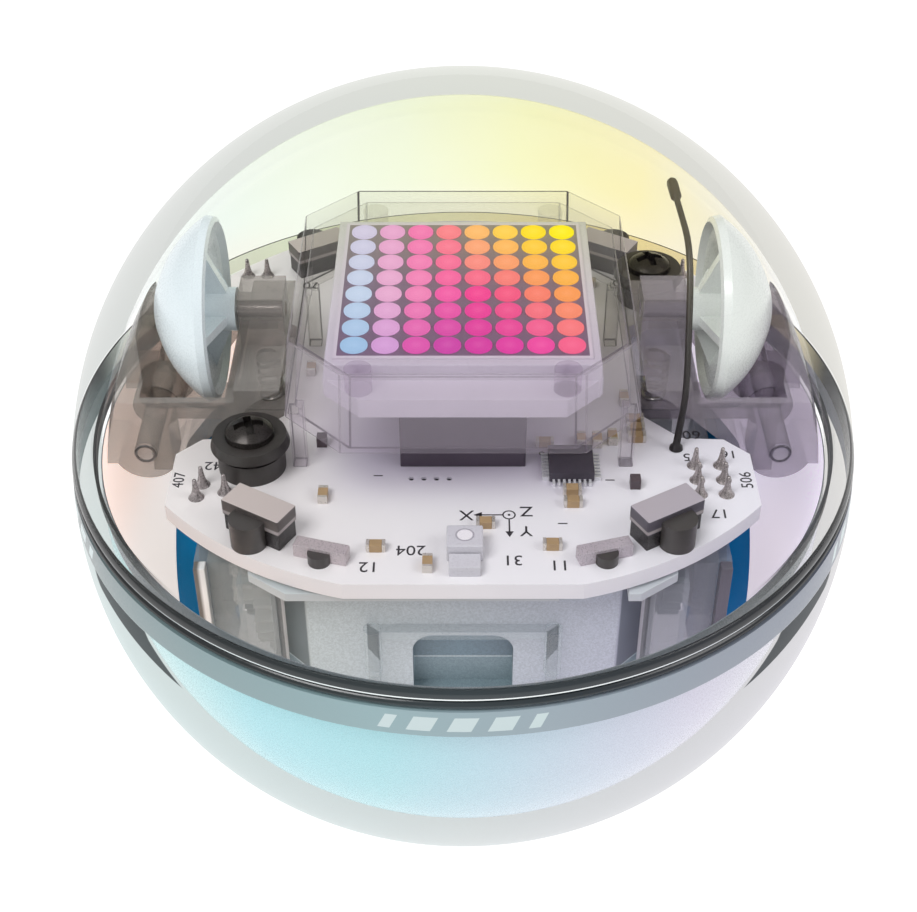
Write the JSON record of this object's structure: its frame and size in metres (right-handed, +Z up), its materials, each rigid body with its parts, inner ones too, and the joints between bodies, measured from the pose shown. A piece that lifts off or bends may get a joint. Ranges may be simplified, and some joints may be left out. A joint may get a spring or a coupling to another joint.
{
  "type": "educational coding robot",
  "caption": "Transparent rolling ball with a two-wheeled coding robot inside: lit dot-matrix display, white circuit board, sprung stabiliser arms and blue drive wheels.",
  "frame": {"origin": "centre of the ball, which is also the centre of its bounding box", "axes": "+Z up through the top shell, -Y the way the robot faces, +X along the drive wheels' axles"},
  "size_m": [0.073, 0.073, 0.073],
  "materials": {
    "shell_clear": "clear, polished",
    "shell_pearl": "pearly translucent",
    "belt_grey": "satin",
    "seam_black": "glossy",
    "smoke_clear": "smoky clear",
    "frame_white": "moulded",
    "tray_grey": "moulded",
    "ballast_silver": "sintered, fine grain",
    "battery_wrap": "foil wrap",
    "copper": "enamelled winding",
    "ferrite": "matt",
    "steel": "satin",
    "gear_white": "moulded",
    "hub_grey": "moulded",
    "tyre_blue": "matt",
    "idler_pale": "satin",
    "board_white": "solder mask",
    "grommet_rubber": "satin",
    "sensor_black": "satin",
    "sensor_silver": "tinned",
    "light_white": "diffusing",
    "solder": "soldered",
    "capacitor_tan": "ceramic",
    "display_white": "moulded",
    "display_grey": "printed",
    "led": "lit lens",
    "cover_clear": "clear, polished"
  },
  "bodies": {
    "chassis": {"antenna": "sensor_black", "arm_brackets": "smoke_clear", "arm_spring_left": "steel", "arm_spring_right": "steel", "ballast_front": "ballast_silver", "ballast_rear": "ballast_silver", "base_screws": "steel", "base_tray": "tray_grey", "battery": "battery_wrap", "capacitor_ends": "solder", "capacitors": "capacitor_tan", "charging_coil": "copper", "coil_ferrite": "ferrite", "display_body": "display_white", "display_bosses": "cover_clear", "display_connector": "sensor_black", "display_cover": "cover_clear", "display_face": "display_grey", "front_bracket": "smoke_clear", "gear_pins": "steel", "gearbox_covers": "smoke_clear", "gearbox_trims": "frame_white", "grommet_screws": "grommet_rubber", "grommets": "grommet_rubber", "ir_emitters": "sensor_silver", "ir_lenses": "sensor_black", "ir_receiver_bases": "sensor_black", "ir_receiver_cans": "sensor_silver", "led_dots": "led", "light_sensor": "light_white", "main_board": "board_white", "microcontroller": "sensor_black", "microcontroller_pins": "solder", "motors": "steel", "pivot_pins": "steel", "resistors": "sensor_silver", "side_frame_left": "frame_white", "side_frame_right": "frame_white", "solder_pins": "solder", "spacer_sheet": "frame_white", "status_light": "light_white", "wheel_axles": "steel"},
    "seam_carrier": {"seam_ring": "seam_black"},
    "shell": {"upper_shell": "shell_clear", "lower_shell": "shell_pearl", "belt_band": "belt_grey"},
    "drive_left": {"drive_wheel_left": "hub_grey", "tyre_left": "tyre_blue"},
    "compound_left": {"compound_gear_left": "gear_white"},
    "pinion_left": {"motor_pinion_left": "gear_white"},
    "swing_left": {"arm_left": "smoke_clear", "idler_axle_left": "steel"},
    "idler_left": {"idler_wheel_left": "idler_pale"},
    "drive_right": {"drive_wheel_right": "hub_grey", "tyre_right": "tyre_blue"},
    "compound_right": {"compound_gear_right": "gear_white"},
    "pinion_right": {"motor_pinion_right": "gear_white"},
    "swing_right": {"arm_right": "smoke_clear", "idler_axle_right": "steel"},
    "idler_right": {"idler_wheel_right": "idler_pale"}
  },
  "joints": [
    {"name": "drive_roll", "type": "hinge", "parent": "chassis", "child": "seam_carrier", "pos_m": [0, 0, 0], "axis": [1, 0, 0], "continuous": true},
    {"name": "turn", "type": "hinge", "parent": "seam_carrier", "child": "shell", "pos_m": [0, 0, 0], "axis": [0, 0, 1], "continuous": true},
    {"name": "wheel_left_spin", "type": "hinge", "parent": "chassis", "child": "drive_left", "pos_m": [-0.0235, 0, -0.0103], "axis": [1, 0, 0], "continuous": true},
    {"name": "compound_left_spin", "type": "hinge", "parent": "chassis", "child": "compound_left", "pos_m": [-0.019, -0.0095, -0.00583], "axis": [1, 0, 0], "continuous": true},
    {"name": "motor_left_spin", "type": "hinge", "parent": "chassis", "child": "pinion_left", "pos_m": [-0.0175, -0.00765, -0.01464], "axis": [1, 0, 0], "continuous": true},
    {"name": "arm_left_swing", "type": "hinge", "parent": "chassis", "child": "swing_left", "pos_m": [-0.0288, 0.0025, 0.0057], "axis": [0, 1, 0], "range_deg": [0, 3.5], "stiffness_Nm_per_rad": 0.05, "springref_deg": -5.73, "deforming": ["arm_spring_left"]},
    {"name": "idler_left_spin", "type": "hinge", "parent": "swing_left", "child": "idler_left", "pos_m": [-0.0235, 0.0025, 0.0153], "axis": [1, 0, 0], "continuous": true},
    {"name": "wheel_right_spin", "type": "hinge", "parent": "chassis", "child": "drive_right", "pos_m": [0.0235, 0, -0.0103], "axis": [1, 0, 0], "continuous": true},
    {"name": "compound_right_spin", "type": "hinge", "parent": "chassis", "child": "compound_right", "pos_m": [0.019, 0.0095, -0.00583], "axis": [1, 0, 0], "continuous": true},
    {"name": "motor_right_spin", "type": "hinge", "parent": "chassis", "child": "pinion_right", "pos_m": [0.0175, 0.00765, -0.01464], "axis": [1, 0, 0], "continuous": true},
    {"name": "arm_right_swing", "type": "hinge", "parent": "chassis", "child": "swing_right", "pos_m": [0.0288, 0.0025, 0.0057], "axis": [0, -1, 0], "range_deg": [0, 3.5], "stiffness_Nm_per_rad": 0.05, "springref_deg": -5.73, "deforming": ["arm_spring_right"]},
    {"name": "idler_right_spin", "type": "hinge", "parent": "swing_right", "child": "idler_right", "pos_m": [0.0235, 0.0025, 0.0153], "axis": [1, 0, 0], "continuous": true}
  ],
  "couplings": [
    {"joint": "wheel_left_spin", "follows": "drive_roll", "ratio": 1.82},
    {"joint": "compound_left_spin", "follows": "drive_roll", "ratio": -4.55},
    {"joint": "motor_left_spin", "follows": "drive_roll", "ratio": 11.83},
    {"joint": "idler_left_spin", "follows": "drive_roll", "ratio": 2.82},
    {"joint": "wheel_right_spin", "follows": "drive_roll", "ratio": 1.82},
    {"joint": "compound_right_spin", "follows": "drive_roll", "ratio": -4.55},
    {"joint": "motor_right_spin", "follows": "drive_roll", "ratio": 11.83},
    {"joint": "idler_right_spin", "follows": "drive_roll", "ratio": 2.82}
  ]
}
